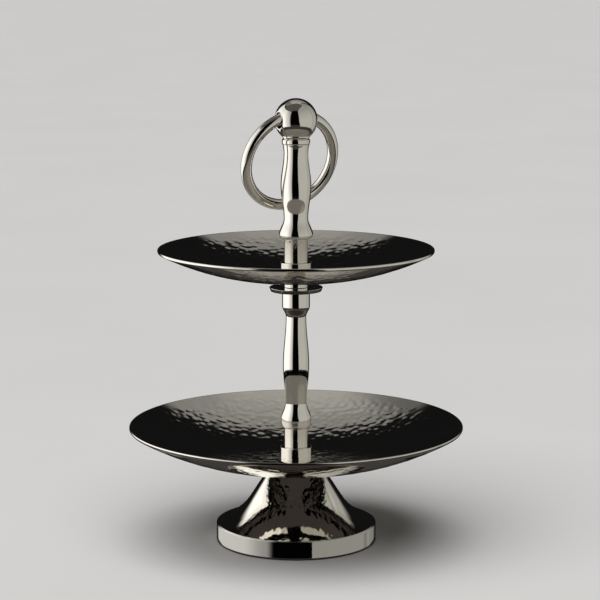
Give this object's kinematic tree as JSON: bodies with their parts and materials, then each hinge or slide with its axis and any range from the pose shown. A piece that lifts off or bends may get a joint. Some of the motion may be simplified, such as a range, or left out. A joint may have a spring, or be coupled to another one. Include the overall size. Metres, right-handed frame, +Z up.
{
  "type": "tiered cake stand",
  "caption": "Round tiered cake stand: hammered metal bowls on a turned centre column, trumpet foot, ball finial and swinging ring handle.",
  "frame": {"origin": "centre of the foot's resting face, on the column's axis", "axes": "+Z up along the column, X along the cross hole that the ring handle swings in, +Y the side that the ring leans to"},
  "size_m": [0.28, 0.28, 0.3733],
  "materials": {
    "polished_plate": "mirror-polished bright nickel plate on cast and turned aluminium",
    "hammered_plate": "hand-hammered, then polished bright nickel plate on cast aluminium",
    "zinc_steel": "zinc-plated fastener steel",
    "gasket_rubber": "matt black rubber",
    "black_felt": "pressed black felt"
  },
  "bodies": {
    "stand": {"foot_felt_ring": "black_felt", "foot_shell": "polished_plate", "foot_bolt": "zinc_steel", "foot_spring_washer": "zinc_steel", "foot_washer": "zinc_steel", "lower_bowl_under_gasket": "gasket_rubber", "lower_bowl": "hammered_plate", "lower_bowl_top_gasket": "gasket_rubber", "lower_collar": "polished_plate", "lower_sleeve": "polished_plate", "lower_column": "polished_plate", "joint_stud": "zinc_steel", "support_disc": "polished_plate", "upper_bowl_under_gasket": "gasket_rubber", "upper_bowl": "hammered_plate", "upper_bowl_top_gasket": "gasket_rubber", "upper_collar": "polished_plate", "upper_sleeve": "polished_plate", "upper_column": "polished_plate", "neck_ring": "polished_plate", "finial_stud": "zinc_steel", "ball_finial": "polished_plate"},
    "ring": {"ring_handle": "polished_plate"}
  },
  "joints": [
    {"name": "ring_swing", "type": "hinge", "parent": "stand", "child": "ring", "pos_m": [0, 0, 0.3555], "axis": [1, 0, 0], "range_deg": [-5.6, 330.4]}
  ]
}
